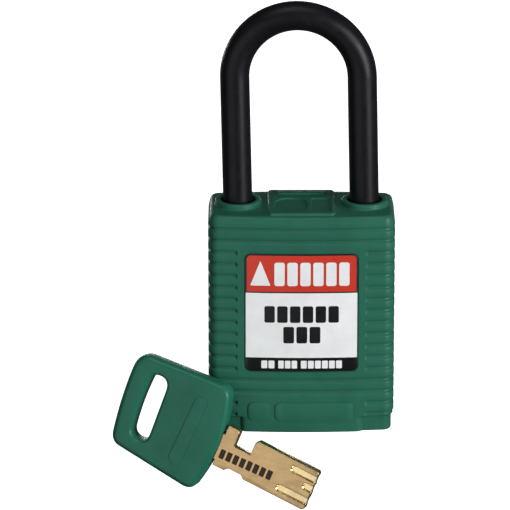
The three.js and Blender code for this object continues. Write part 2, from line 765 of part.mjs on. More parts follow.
function lockGroup() {
  const lock = new THREE.Group();
  lock.add(named("body_shell", bodyShell(), GREEN_PLASTIC));
  lock.add(named("bottom_cover", bottomCover(), GREEN_PLASTIC));
  lock.add(named("front_label", label(-BODY_DEPTH, 0), LABEL_PRINT));
  lock.add(named("back_label", label(0, BODY_DEPTH), LABEL_PRINT));
  for (const [name, x, y] of coverPinPlaces()) lock.add(named(name, coverPin(x, y), STEEL));
  lock.add(named("cylinder_housing", cylinderHousing(), ZINC));
  lock.add(named("bolt_carrier", boltCarrier(), ZINC));
  lock.add(named("shackle", shackle(), BLACK_PLASTIC));
  lock.add(named("heel_retaining_clip", heelRetainingClip(), STEEL));
  lock.add(named("spring_plunger", springPlunger(), BRASS));
  lock.add(named("shackle_spring", shackleSpring(), SPRING_STEEL));
  lock.add(named("toe_latch_bolt", latchBolt(1), STEEL));
  lock.add(named("heel_latch_bolt", latchBolt(-1), STEEL));
  lock.add(named("cylinder_plug", cylinderPlug(), BRASS));
  lock.add(named("plug_retaining_clip", plugRetainingClip(), STEEL));
  lock.add(named("spring_cap", springCap(), BRASS));
  lock.add(named("drive_cam", driveCam(), STEEL));
  lock.add(named("sidebar_front", sidebar(-1), STEEL));
  lock.add(named("sidebar_back", sidebar(1), STEEL));
  sliderPlaces().forEach(([x, y], i) => {
    lock.add(named(`slider_${i + 1}`, slider(x, y), STEEL));
    lock.add(named(`slider_spring_${i + 1}`, sliderSpring(x, y), SPRING_STEEL));
  });
  return lock;
}

function keyGroup() {
  const flat = new THREE.Group();
  flat.add(named("key_bow", keyBow(), GREEN_PLASTIC));
  flat.add(named("key_blade", keyBlade(), BRASS));
  flat.rotation.z = -KEY_TILT;
  const key = new THREE.Group();
  key.add(flat);
  key.rotation.set(Math.PI / 2 - KEY_LEAN, 0, -KEY_TURN, "ZXY");
  key.position.copy(KEY_PLACE);
  return key;
}

const padlock = new THREE.Group();
padlock.name = "safety_padlock";
padlock.add(lockGroup(), keyGroup());
padlock.position.z = -INNER_CROWN;

const part = new THREE.Group();
part.add(padlock);

export default part;
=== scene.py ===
"""Looks of the safety padlock: a ribbed moulded body, a bent black shackle, printed
label plates and a key with a moulded bow and a machined brass blade.

Lengths in this script are millimetres. Heights are taken from the underside of the
bottom cover, and put() turns them into the frame's metres.
"""

import math

import bmesh
import bpy
from mathutils import Matrix, Vector


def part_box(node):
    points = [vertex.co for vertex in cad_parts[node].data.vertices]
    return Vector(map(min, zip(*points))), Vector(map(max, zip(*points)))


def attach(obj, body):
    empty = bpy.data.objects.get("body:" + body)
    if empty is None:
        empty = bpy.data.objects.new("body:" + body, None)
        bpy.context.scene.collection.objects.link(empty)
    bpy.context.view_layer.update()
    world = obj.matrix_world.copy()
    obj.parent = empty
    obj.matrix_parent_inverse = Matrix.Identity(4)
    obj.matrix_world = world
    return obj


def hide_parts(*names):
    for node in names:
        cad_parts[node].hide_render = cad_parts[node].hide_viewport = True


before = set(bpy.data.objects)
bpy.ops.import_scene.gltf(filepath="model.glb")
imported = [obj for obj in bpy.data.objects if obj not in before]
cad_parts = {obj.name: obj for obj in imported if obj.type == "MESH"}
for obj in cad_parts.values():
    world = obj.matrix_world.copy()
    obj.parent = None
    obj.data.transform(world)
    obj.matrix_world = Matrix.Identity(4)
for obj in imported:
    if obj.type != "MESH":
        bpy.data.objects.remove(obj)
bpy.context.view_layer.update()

MM = 0.001
BASE_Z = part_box("bottom_cover")[0].z / MM  # the underside of the cover, in the frame

# ------------------------------------------------------------------ sizes from the frame


def size_mm(node):
    low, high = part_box(node)
    return (high - low) / MM


BODY_WIDTH = size_mm("body_shell").x
BODY_DEPTH = size_mm("body_shell").y
COLLAR_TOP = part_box("body_shell")[1].z / MM - BASE_Z
COVER_TOP = size_mm("bottom_cover").z
SHACKLE_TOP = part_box("shackle")[1].z / MM - BASE_Z
SHACKLE_RADIUS = size_mm("shackle").y / 2
LEG_X = size_mm("shackle").x / 2 - SHACKLE_RADIUS
HEEL_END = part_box("shackle")[0].z / MM - BASE_Z

# ------------------------------------------------------------------ moulding details

COLLAR_HEIGHT = 1.2
BODY_TOP = COLLAR_TOP - COLLAR_HEIGHT
FACE_CROWN = 1.3
CORNER_RADIUS = 2.5
EDGE_ROUND = 0.8
TOP_TAPER = 0.5  # how far the band above the grooves leans in by the top edge
FOOT_INSET = 0.55  # below the ribs the body draws in, except under the front band
FOOT_ROUND = 0.55
COVER_INSET = 1.95  # the cover is let into the underside
COVER_GAP = 0.15
COVER_ROUND = 0.3
SHELL_FLOOR = 3.75

GROOVE_COUNT = 17
GROOVE_PITCH = 2.58
GROOVE_TOP_Z = 45.25
GROOVE_DEPTH = 0.36
PANEL_HALF_WIDTH = 13.5
PANEL_LOW = 13.0
PANEL_HIGH = 41.35
BAND_HALF_WIDTH = 12.6
BAND_HIGH = 7.85

COLLAR_RADIUS = 4.95
COLLAR_MOUTH = 3.75
LEG_BORE = 3.4
TOE_BORE_END = 36.6
PAD_HALF_WIDTH = 7.05
PAD_HALF_DEPTH = 8.4
PAD_HEIGHT = 0.55

LABEL_HALF_WIDTH = 11.85
LABEL_LOW = 13.95
LABEL_HIGH = 40.1


def put(x, y, z):
    return Vector((x * MM, y * MM, (z + BASE_Z) * MM))


def smoothstep(low, high, value):
    t = min(max((value - low) / (high - low), 0.0), 1.0)
    return t * t * (3 - 2 * t)


# ------------------------------------------------------------------ node materials


class Nodes:
    """A small helper that adds nodes to a material and links them."""

    def __init__(self, name):
        self.material = bpy.data.materials.new(name)
        self.material.use_nodes = True
        self.tree = self.material.node_tree
        self.shader = self.tree.nodes["Principled BSDF"]
        self.coords = self.add("ShaderNodeTexCoord").outputs["Object"]

    def add(self, kind, **settings):
        node = self.tree.nodes.new(kind)
        for key, value in settings.items():
            setattr(node, key, value)
        return node

    def link(self, source, target):
        self.tree.links.new(source, target)

    def noise(self, scale, detail=4.0, roughness=0.55, stretch=None):
        node = self.add("ShaderNodeTexNoise")
        node.inputs["Scale"].default_value = scale
        node.inputs["Detail"].default_value = detail
        node.inputs["Roughness"].default_value = roughness
        source = self.coords
        if stretch:
            mapping = self.add("ShaderNodeMapping")
            mapping.inputs["Scale"].default_value = stretch
            self.link(source, mapping.inputs["Vector"])
            source = mapping.outputs["Vector"]
        self.link(source, node.inputs["Vector"])
        return node.outputs["Fac"]

    def ramp(self, value, stops):
        node = self.add("ShaderNodeValToRGB")
        elements = node.color_ramp.elements
        while len(elements) < len(stops):
            elements.new(0.5)
        for element, (place, colour) in zip(elements, stops):
            element.position = place
            element.color = colour if len(colour) == 4 else (*colour, 1)
        self.link(value, node.inputs["Fac"])
        return node.outputs["Color"]

    def spread(self, value, low, high, new_low, new_high):
        node = self.add("ShaderNodeMapRange")
        names = ("From Min", "From Max", "To Min", "To Max")
        for name, number in zip(names, (low, high, new_low, new_high)):
            node.inputs[name].default_value = number
        self.link(value, node.inputs["Value"])
        return node.outputs["Result"]

    def mix(self, factor, first, second):
        node = self.add("ShaderNodeMix", data_type="RGBA")
        a = next(s for s in node.inputs if s.name == "A" and s.type == "RGBA")
        b = next(s for s in node.inputs if s.name == "B" and s.type == "RGBA")
        factor_in = next(s for s in node.inputs if s.name == "Factor" and s.type == "VALUE")
        for socket, value in ((a, first), (b, second), (factor_in, factor)):
            if isinstance(value, bpy.types.NodeSocket):
                self.link(value, socket)
            elif socket is factor_in:
                socket.default_value = value
            else:
                socket.default_value = (*value, 1)
        return next(s for s in node.outputs if s.type == "RGBA")

    def bump(self, height, distance, strength=1.0, normal=None):
        node = self.add("ShaderNodeBump")
        node.inputs["Strength"].default_value = strength
        node.inputs["Distance"].default_value = distance
        self.link(height, node.inputs["Height"])
        if normal:
            self.link(normal, node.inputs["Normal"])
        return node.outputs["Normal"]

    def edges(self, low, high):
        pointiness = self.add("ShaderNodeNewGeometry").outputs["Pointiness"]
        return self.spread(pointiness, low, high, 0.0, 1.0)

    def finish(self, colour=None, roughness=None, normal=None, **values):
        links = (("Base Color", colour), ("Roughness", roughness), ("Normal", normal))
        for name, value in links:
            if isinstance(value, bpy.types.NodeSocket):
                self.link(value, self.shader.inputs[name])
            elif isinstance(value, tuple):
                self.shader.inputs[name].default_value = (*value, 1)
            elif value is not None:
                self.shader.inputs[name].default_value = value
        for name, value in values.items():
            self.shader.inputs[name.replace("_", " ")].default_value = value
        return self.material


def rgb(red, green, blue):
    """A colour given as 0 to 255 display values, in the renderer's linear values."""

    def linear(value):
        value /= 255
        return value / 12.92 if value <= 0.04045 else ((value + 0.055) / 1.055) ** 2.4

    return linear(red), linear(green), linear(blue)


def scaled(colour, factor):
    return tuple(min(c * factor, 1.0) for c in colour)


def moulded_plastic(name, colour, roughness, grain, gloss):
    """Satin moulded plastic: fine spark-eroded grain, faint flow mottling, lighter convex edges.
    """
    n = Nodes(name)
    mottle = n.noise(140, 5)
    flow = n.noise(55, 3, stretch=(1.0, 1.0, 0.35))
    grain_height = n.noise(5200, 3, 0.7)
    base = n.ramp(mottle, [(0.3, scaled(colour, 0.9)), (0.7, scaled(colour, 1.1))])
    base = n.mix(n.spread(flow, 0.35, 0.75, 0.0, 0.22), base, scaled(colour, 1.25))
    # Convex edges are mixed towards a lighter green.
    convex_edge_lightening = n.edges(0.52, 0.62)
    base = n.mix(n.spread(convex_edge_lightening, 0, 1, 0, 0.14), base, scaled(colour, 1.9))
    rough = n.spread(n.noise(380, 4), 0.3, 0.7, roughness - 0.06, roughness + 0.06)
    normal = n.bump(grain_height, grain * MM, 0.6)
    normal = n.bump(n.noise(260, 2), 0.02 * MM, 0.35, normal)
    return n.finish(base, rough, normal, Specular_IOR_Level=gloss)


def shackle_plastic():
    n = Nodes("shackle_black")
    colour = rgb(17, 17, 22)
    base = n.ramp(n.noise(180, 5), [(0.3, scaled(colour, 0.8)), (0.7, scaled(colour, 1.2))])
    scuff = n.noise(900, 6, 0.7, stretch=(1, 1, 0.12))
    base = n.mix(n.spread(scuff, 0.62, 0.8, 0, 0.35), base, rgb(62, 62, 66))
    rough = n.spread(n.noise(420, 4), 0.3, 0.7, 0.34, 0.46)
    normal = n.bump(n.noise(3800, 3, 0.7), 0.012 * MM, 0.5)
    normal = n.bump(n.noise(600, 4, stretch=(1, 1, 0.1)), 0.012 * MM, 0.4, normal)
    return n.finish(base, rough, normal, Specular_IOR_Level=0.21)


def machined_metal(name, colour, roughness, stretch):
    """Metal with fine tool marks along one direction and a slight tarnish."""
    n = Nodes(name)
    marks = n.noise(1500, 5, 0.7, stretch=stretch)
    cloud = n.noise(230, 4)
    base = n.ramp(marks, [(0.25, scaled(colour, 0.84)), (0.75, scaled(colour, 1.08))])
    base = n.mix(n.spread(cloud, 0.5, 0.8, 0, 0.45), base, scaled(colour, 0.62))
    bright = n.edges(0.53, 0.64)
    base = n.mix(n.spread(bright, 0, 1, 0, 0.5), base, scaled(colour, 1.3))
    rough = n.spread(cloud, 0.3, 0.75, roughness - 0.07, roughness + 0.1)
    normal = n.bump(marks, 0.01 * MM, 0.5)
    return n.finish(base, rough, normal, Metallic=1.0)


def print_ink(name, colour, roughness=0.32):
    """Screen-printed ink on a plastic plate: slight orange peel and uneven cover."""
    n = Nodes(name)
    cloud = n.noise(240, 4)
    base = n.ramp(cloud, [(0.3, scaled(colour, 0.94)), (0.7, scaled(colour, 1.05))])
    dust = n.noise(2600, 5, 0.75)
    base = n.mix(n.spread(dust, 0.66, 0.8, 0, 0.25), base, scaled(colour, 0.75))
    rough = n.spread(n.noise(500, 4), 0.3, 0.7, roughness - 0.05, roughness + 0.08)
    normal = n.bump(n.noise(1300, 2), 0.004 * MM, 0.5)
    return n.finish(base, rough, normal, Specular_IOR_Level=0.5)


GREEN = moulded_plastic("moulded_green", rgb(39, 100, 81), 0.42, 0.012, 0.2)
KEY_GREEN = moulded_plastic("key_green", rgb(32, 105, 84), 0.36, 0.008, 0.25)
BLACK_ROD = shackle_plastic()
BRASS = machined_metal("brass", rgb(205, 173, 125), 0.3, (0.25, 1, 1))
# The tracks' walls and floors get a lighter copy of the brass: a painted highlight for the light
# the milled tracks catch.
TRACK_HIGHLIGHT_BRASS = machined_metal("brass_track_highlight", rgb(250, 224, 168), 0.22, (0.25, 1, 1))
STEEL = machined_metal("steel", rgb(165, 168, 172), 0.32, (1, 1, 0.2))
SPRING_STEEL = machined_metal("spring_steel", rgb(185, 188, 190), 0.25, (1, 1, 1))
ZINC = machined_metal("zinc_casting", rgb(135, 138, 142), 0.5, (1, 1, 1))
INK_RED = print_ink("ink_red", rgb(204, 56, 38))
INK_WHITE = print_ink("ink_white", rgb(240, 242, 242))
INK_BLACK = print_ink("ink_black", rgb(14, 16, 18))
ENGRAVED = print_ink("engraved_dark", rgb(52, 36, 24), 0.6)


# ------------------------------------------------------------------ mesh helpers


def object_from_mesh(name, mesh, material):
    obj = bpy.data.objects.new(name, mesh)
    bpy.context.scene.collection.objects.link(obj)
    mesh.materials.append(material)
    return obj


def object_from_bmesh(name, bm, material):
    """Turns every face of bm outwards and makes an object of it."""
    bmesh.ops.recalc_face_normals(bm, faces=bm.faces)
    mesh = bpy.data.meshes.new(name)
    bm.to_mesh(mesh)
    bm.free()
    return object_from_mesh(name, mesh, material)


def new_object(name, verts, faces, material):
    mesh = bpy.data.meshes.new(name)
    mesh.from_pydata([put(*v) for v in verts], [], faces)
    mesh.update()
    obj = object_from_mesh(name, mesh, material)
    for polygon in mesh.polygons:
        polygon.use_smooth = True
    return obj


def outward(obj):
    """Turns every face outwards and joins vertices that lie on each other."""
    bm = bmesh.new()
    bm.from_mesh(obj.data)
    bmesh.ops.remove_doubles(bm, verts=bm.verts, dist=0.0005 * MM)
    bmesh.ops.recalc_face_normals(bm, faces=bm.faces)
    bm.to_mesh(obj.data)
    bm.free()
    return obj


def apply_modifiers(obj):
    bpy.context.view_layer.update()
    depsgraph = bpy.context.evaluated_depsgraph_get()
    mesh = bpy.data.meshes.new_from_object(obj.evaluated_get(depsgraph))
    old = obj.data
    obj.modifiers.clear()
    obj.data = mesh
    bpy.data.meshes.remove(old)


def boolean(obj, tool, operation):
    modifier = obj.modifiers.new("cut", "BOOLEAN")
    modifier.operation = operation
    modifier.solver = "MANIFOLD"
    modifier.object = tool
    apply_modifiers(obj)
    bpy.data.objects.remove(tool)


def smooth_by_angle(obj, degrees=35):
    for polygon in obj.data.polygons:
        polygon.use_smooth = True
    obj.data.set_sharp_from_angle(angle=math.radians(degrees))
    return obj


def bevelled(obj, width, segments=3, degrees=30):
    modifier = obj.modifiers.new("bevel", "BEVEL")
    modifier.width = width * MM
    modifier.segments = segments
    modifier.limit_method = "ANGLE"
    modifier.angle_limit = math.radians(degrees)
    modifier.harden_normals = False
    apply_modifiers(obj)
    return smooth_by_angle(obj)


def rings_object(name, rings, material):
    """A closed skin through rings that all have the same number of points."""
    count = len(rings[0])
    verts = [p for ring in rings for p in ring]
    faces = []
    for i in range(len(rings) - 1):
        for j in range(count):
            a = i * count + j
            b = i * count + (j + 1) % count
            faces.append((a, b, b + count, a + count))
    faces.append(tuple(reversed(range(count))))
    last = (len(rings) - 1) * count
    faces.append(tuple(range(last, last + count)))
    return outward(new_object(name, verts, faces, material))


def lathe_solid(name, profile, x, y, material, segments=96):
    """A solid turned about a vertical axis. The profile is [radius, height] from the
    bottom of the axis to its top, without the two points on the axis."""
    rings = []
    for r, z in profile:
        ring = []
        for i in range(segments):
            angle = 2 * math.pi * i / segments
            ring.append((x + r * math.cos(angle), y + r * math.sin(angle), z))
        rings.append(ring)
    return rings_object(name, rings, material)


def cylinder_object(name, x, y, z0, z1, radius, segments=64):
    return lathe_solid(name, [(radius, z0), (radius, z1)], x, y, GREEN, segments)


def box_object(name, x0, x1, y0, y1, z0, z1):
    corners = [(x0, y0), (x1, y0), (x1, y1), (x0, y1)]
    rings = [[(x, y, z) for x, y in corners] for z in (z0, z1)]
    return rings_object(name, rings, STEEL)


def arc(centre, radius, start, end, steps):
    """Points round a centre from one angle to another, in degrees, both ends included."""
    points = []
    for i in range(steps + 1):
        angle = math.radians(start + (end - start) * i / steps)
        points.append((centre[0] + radius * math.cos(angle), centre[1] + radius * math.sin(angle)))
    return points


def carry(obj, body, replaced=None):
    """Says which body a piece rides on and the node it replaces."""
    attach(obj, body)
    if replaced:
        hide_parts(replaced)
    return obj


# ------------------------------------------------------------------ body skin


def half_depth_at(x):
    return BODY_DEPTH / 2 - FACE_CROWN * (x / (BODY_WIDTH / 2)) ** 2


def face_places(straight):
    """Where the columns of a face stand: closer together where the grooves end."""
    places = [straight * i / 30 for i in range(-30, 30)]
    for i in range(15):
        edge = BAND_HALF_WIDTH - 0.1 + i * 0.13
        places += [-edge, edge]
    return sorted(places)


def corner_points(x, y, start):
    """A quarter of a rounded corner from an angle on, as [x, y, outward x, y]."""
    points = []
    for i in range(12):
        angle = math.radians(start + 90 * i / 12)
        c, s = math.cos(angle), math.sin(angle)
        points.append((x + CORNER_RADIUS * c, y + CORNER_RADIUS * s, c, s))
    return points


def half_outline():
    """The front face, the right corners and the right side, as [x, y, outward x, y]."""
    straight = BODY_WIDTH / 2 - CORNER_RADIUS
    corner_y = half_depth_at(straight) - CORNER_RADIUS
    side_steps = 24
    half = []
    for x in face_places(straight):
        slope = 2 * FACE_CROWN * x / (BODY_WIDTH / 2) ** 2
        normal = Vector((slope, -1, 0)).normalized()
        half.append((x, -half_depth_at(x), normal.x, normal.y))
    half += corner_points(straight, -corner_y, -90)
    for i in range(side_steps):
        y = -corner_y + 2 * corner_y * i / side_steps
        half.append((BODY_WIDTH / 2, y, 1.0, 0.0))
    return half + corner_points(straight, corner_y, 0)


def outline_columns():
    """Points of the body's plan with their outward directions, once round."""
    half = half_outline()
    return half + [tuple(-value for value in point) for point in half]


def outline_ring(columns, inset, z):
    return [(x - nx * inset, y - ny * inset, z) for x, y, nx, ny in columns]


# A groove's section as [height above its middle, share of its depth]: a steep upper
# wall, a flat floor, and a sloping lower wall that catches the light.
GROOVE_SECTION = [
    (0.56, 0.00),
    (0.50, 0.08),
    (0.45, 0.35),
    (0.40, 0.80),
    (0.33, 0.97),
    (0.22, 1.00),
    (-0.12, 1.00),
    (-0.22, 0.86),
    (-0.34, 0.52),
    (-0.46, 0.18),
    (-0.56, 0.03),
    (-0.62, 0.00),
]
FOOT_STEP = -0.2  # the lowest groove runs out into the foot from here down


def groove_middle(index):
    return GROOVE_TOP_Z - index * GROOVE_PITCH


FOOT = -1  # marks the rows of the foot
FOOT_SECTION = ((0.75, 1.0), (0.45, 0.9), (0.3, 0.55), (0.15, 0.5))  # [drop, share]


def skin_rows():
    """[height, round-over inset, groove index or FOOT or None, share of the depth]."""
    rows = []
    for i in range(7):
        angle = math.radians(90 * i / 6)
        inset = FOOT_ROUND * (1 - math.sin(angle))
        rows.append((FOOT_ROUND * (1 - math.cos(angle)), inset, FOOT, 1.0))
    foot_top = groove_middle(GROOVE_COUNT - 1) + FOOT_STEP
    for drop, share in FOOT_SECTION:
        rows.append((foot_top - drop, 0.0, FOOT, share))
    for index in reversed(range(GROOVE_COUNT)):
        middle = groove_middle(index)
        for offset, share in reversed(GROOVE_SECTION):
            if middle + offset > rows[-1][0] + 0.01:
                rows.append((middle + offset, 0.0, index, share))
        if index > 0:
            rows.append((middle + GROOVE_PITCH / 2, 0.0, None, 0.0))
    band_low = rows[-1][0]
    for i in range(9):
        angle = math.radians(90 * i / 8)
        z = BODY_TOP - EDGE_ROUND * (1 - math.sin(angle))
        lean = TOP_TAPER * (z - band_low) / (BODY_TOP - band_low)
        rows.append((z, lean + EDGE_ROUND * (1 - math.cos(angle)), None, 0.0))
    return rows


GROOVE_FADE = 0.4
FOOT_FADE = 0.9


def groove_share(x, y, z):
    """How much of a groove's depth there is beside the smooth fields."""
    beside_label = PANEL_LOW < z < PANEL_HIGH and abs(y) > BODY_DEPTH / 4
    beside_band = z < BAND_HIGH and y < -BODY_DEPTH / 4
    if beside_label or beside_band:
        return smoothstep(PANEL_HALF_WIDTH, PANEL_HALF_WIDTH + GROOVE_FADE, abs(x))
    return 1.0


def foot_share(x, y):
    """How far the foot draws in: not at all under the front band."""
    if y > -BODY_DEPTH / 4:
        return 1.0
    return smoothstep(BAND_HALF_WIDTH - FOOT_FADE / 2, BAND_HALF_WIDTH + FOOT_FADE / 2, abs(x))


def body_skin():
    columns = outline_columns()
    rings = []
    for z, inset, index, share in skin_rows():
        ring = []
        for x, y, nx, ny in columns:
            depth = inset
            if index == FOOT:
                depth += FOOT_INSET * share * foot_share(x, y)
            elif index is not None:
                depth += GROOVE_DEPTH * share * groove_share(x, y, groove_middle(index))
            ring.append((x - nx * depth, y - ny * depth, z))
        rings.append(ring)
    return rings_object("moulded_body", rings, GREEN)


def rounded_rectangle(w, low, high, r, steps=6):
    """Points round an upright rectangle of half width w with rounded corners, [x, z]."""
    corners = [(w - r, low + r, -90), (w - r, high - r, 0), (-w + r, high - r, 90)]
    corners.append((-w + r, low + r, 180))
    points = []
    for cx, cz, start in corners:
        points += arc((cx, cz), r, start, start + 90, steps)
    return points


FRONT = -1
BACK = 1


def crowned_plate(name, outline, back, thick, side, material, round_edge=0.0):
    """A flat outline [x, z] laid on the crowned face. back is its underside's depth
    below the face, negative when it floats above, and side is FRONT or BACK."""
    bm = bmesh.new()
    ring = [bm.verts.new((x, 0, z)) for x, z in outline]
    bm.faces.new(ring)
    xs = [x for x, _ in outline]
    strips = max(1, int((max(xs) - min(xs)) / 0.8))
    for i in range(1, strips):
        x = min(xs) + (max(xs) - min(xs)) * i / strips
        geometry = bm.verts[:] + bm.edges[:] + bm.faces[:]
        bmesh.ops.bisect_plane(bm, geom=geometry, plane_co=(x, 0, 0), plane_no=(1, 0, 0))
    flat = bm.faces[:]
    extruded = bmesh.ops.extrude_face_region(bm, geom=flat)
    raised = {v for v in extruded["geom"] if isinstance(v, bmesh.types.BMVert)}
    for vert in bm.verts:
        x, _, z = vert.co
        depth = back - thick if vert in raised else back
        y = side * (half_depth_at(x) - depth)
        vert.co = put(x, y, z)
    obj = object_from_bmesh(name, bm, material)
    if round_edge:
        bevelled(obj, round_edge, 2, 50)
    else:
        smooth_by_angle(obj, 40)
    return obj


LABEL_THICK = 0.22
LABEL_CORNER = 1.2
LABEL_RECESS = 0.2
LABEL_GAP = 0.1
RECESS_GROW = 0.25


def label_recess_tool(side):
    outline = rounded_rectangle(
        LABEL_HALF_WIDTH + RECESS_GROW,
        LABEL_LOW - RECESS_GROW,
        LABEL_HIGH + RECESS_GROW,
        LABEL_CORNER + RECESS_GROW,
    )
    return crowned_plate("recess", outline, LABEL_RECESS, 2.0, side, GREEN)


def collar(x):
    """A leg's raised collar: a soft flare at its foot and a rounded rim."""
    flare = 0.4
    rim = 0.42
    top = BODY_TOP + COLLAR_HEIGHT
    points = [(COLLAR_RADIUS + flare, BODY_TOP - 1.5)]
    foot = (COLLAR_RADIUS + flare, BODY_TOP + flare)
    points += [(COLLAR_RADIUS + flare, BODY_TOP - 0.02)]
    points += arc(foot, flare, -90, -180, 6)
    points += arc((COLLAR_RADIUS - rim, top - rim), rim, 0, 90, 6)
    return lathe_solid("collar", points, x, 0, GREEN)


def mouth_tool(x):
    """The wider mouth at the top of a leg's bore, its rim rounded over."""
    top = BODY_TOP + COLLAR_HEIGHT
    rim = 0.3
    points = [(COLLAR_MOUTH, BODY_TOP - 1.8)]
    points += arc((COLLAR_MOUTH + rim, top - rim), rim, 180, 90, 5)
    points.append((COLLAR_MOUTH + rim, top + 1))
    return lathe_solid("mouth", points, x, 0, GREEN)


def pad_block():
    """The raised pad between the legs, softly rounded."""
    outline = []
    radius = 1.0
    for cx, cy, start in ((1, -1, -90), (1, 1, 0), (-1, 1, 90), (-1, -1, 180)):
        centre = (cx * (PAD_HALF_WIDTH - radius), cy * (PAD_HALF_DEPTH - radius))
        outline += [(p, centre) for p in arc(centre, radius, start, start + 90, 8)]
    rings = []
    edge = 0.26
    heights = [(BODY_TOP - 1.0, 0.0), (BODY_TOP, -0.18), (BODY_TOP + 0.07, -0.06)]
    heights += [(BODY_TOP + 0.15, 0.0), (BODY_TOP + PAD_HEIGHT - edge, 0.0)]
    for angle in (22, 45, 67, 90):
        a = math.radians(angle)
        z = BODY_TOP + PAD_HEIGHT - edge + edge * math.sin(a)
        heights.append((z, edge * (1 - math.cos(a))))
    for z, inset in heights:
        ring = []
        for (x, y), (cx, cy) in outline:
            length = math.hypot(x - cx, y - cy)
            nx, ny = (x - cx) / length, (y - cy) / length
            ring.append((x - nx * inset, y - ny * inset, z))
        rings.append(ring)
    return rings_object("pad", rings, GREEN)


PAD_FIELD_DEPTH = 0.3
PAD_FIELDS = (  # [x, y, half width, half depth, corner radius]
    (-2.2, -2.3, 3.4, 4.6, 3.3),
    (4.2, -2.3, 2.0, 4.6, 0.8),
)
PAD_BAR_HALF_WIDTH = 5.2
PAD_BAR_FRONT = 4.6
PAD_BAR_BACK = 6.9


def pad_field_tool(x, y, half_width, half_depth, radius):
    """A rounded pocket sunk into the top of the pad."""
    top = BODY_TOP + PAD_HEIGHT
    floor = top - PAD_FIELD_DEPTH
    rings = []
    for z, grow in ((floor, 0.0), (floor + 0.1, 0.08), (top, 0.14), (top + 1, 0.14)):
        low, high = -half_depth - grow, half_depth + grow
        outline = rounded_rectangle(half_width + grow, low, high, radius, 8)
        rings.append([(x + px, y + py, z) for px, py in outline])
    return rings_object("field", rings, GREEN)


def pad_bar():
    """A plain raised bar along the back of the pad."""
    top = BODY_TOP + PAD_HEIGHT
    rings = []
    for z, shrink in ((top - 0.3, 0.0), (top + 0.2, 0.0), (top + 0.3, 0.1)):
        front, back = PAD_BAR_FRONT + shrink, PAD_BAR_BACK - shrink
        outline = rounded_rectangle(PAD_BAR_HALF_WIDTH - shrink, front, back, 0.7, 6)
        rings.append([(x, y, z) for x, y in outline])
    return rings_object("pad_bar", rings, GREEN)


POCKET_HALF_WIDTH = 8.6
POCKET_HALF_DEPTH = 7.7
POCKET_TOP = 44.7
BOLT_WINDOW_HALF = 3.2
BOLT_WINDOW_LOW = 39.2
BOLT_WINDOW_HIGH = 44.0
HEEL_CHAMBER = 4.1
HEEL_SHOULDER = 32.0
PIN_PLACES = ((-15.8, -5.4), (15.8, 5.4))
PIN_HOLE = 1.3
PIN_HOLE_TOP = 12.4


def body_cavities():
    """The pocket for the lock's works, the bores for the legs and the pins' holes."""
    w, d, b = POCKET_HALF_WIDTH, POCKET_HALF_DEPTH, BOLT_WINDOW_HALF
    top = BODY_TOP + COLLAR_HEIGHT + 1
    tools = [
        box_object("pocket", -w, w, -d, d, 0, POCKET_TOP),
        box_object("window", -LEG_X, LEG_X, -b, b, BOLT_WINDOW_LOW, BOLT_WINDOW_HIGH),
        cylinder_object("toe_bore", LEG_X, 0, TOE_BORE_END, top, LEG_BORE),
        cylinder_object("heel_bore", -LEG_X, 0, HEEL_SHOULDER - 1, top, LEG_BORE),
        cylinder_object("heel_chamber", -LEG_X, 0, 0, HEEL_SHOULDER, HEEL_CHAMBER),
        mouth_tool(-LEG_X),
        mouth_tool(LEG_X),
    ]
    for x, y in PIN_PLACES:
        tools.append(cylinder_object("pin_hole", x, y, 0, PIN_HOLE_TOP, PIN_HOLE, 32))
    columns = outline_columns()
    recess = COVER_INSET - COVER_GAP
    levels = ((-1.0, recess - 0.12), (0.0, recess - 0.12), (0.12, recess), (SHELL_FLOOR, recess))
    rings = [outline_ring(columns, inset, z) for z, inset in levels]
    tools.append(rings_object("cover_recess", rings, GREEN))
    return tools


BAR_LOW = 2.75
BAR_HIGH = 6.85
BAR_PROUD = 0.22
BAR_CORNER = 1.2
BAR_SPANS = ((-11.3, -6.7), (-5.5, 11.1))


def raised_bar(x0, x1):
    """A plain rounded bar that stands a little proud of the foot band."""
    outline = bar_outline(x0, x1, BAR_LOW, BAR_HIGH, BAR_CORNER)
    return crowned_plate("bar", outline, 1.0, 1.0 + BAR_PROUD, FRONT, GREEN, 0.1)


def build_body():
    body = body_skin()
    pieces = [collar(-LEG_X), collar(LEG_X), pad_block(), pad_bar()]
    pieces += [raised_bar(*span) for span in BAR_SPANS]
    for piece in pieces:
        boolean(body, piece, "UNION")
    cuts = body_cavities() + [label_recess_tool(FRONT), label_recess_tool(BACK)]
    cuts += [pad_field_tool(*field) for field in PAD_FIELDS]
    for tool in cuts:
        boolean(body, tool, "DIFFERENCE")
    smooth_by_angle(body, 40)
    carry(body, "root", "body_shell")


# ------------------------------------------------------------------ bottom cover

COVER_HOLE = 6.7
PIN_HEAD_HOLE = 1.8
PIN_HEAD_DEPTH = 1.4


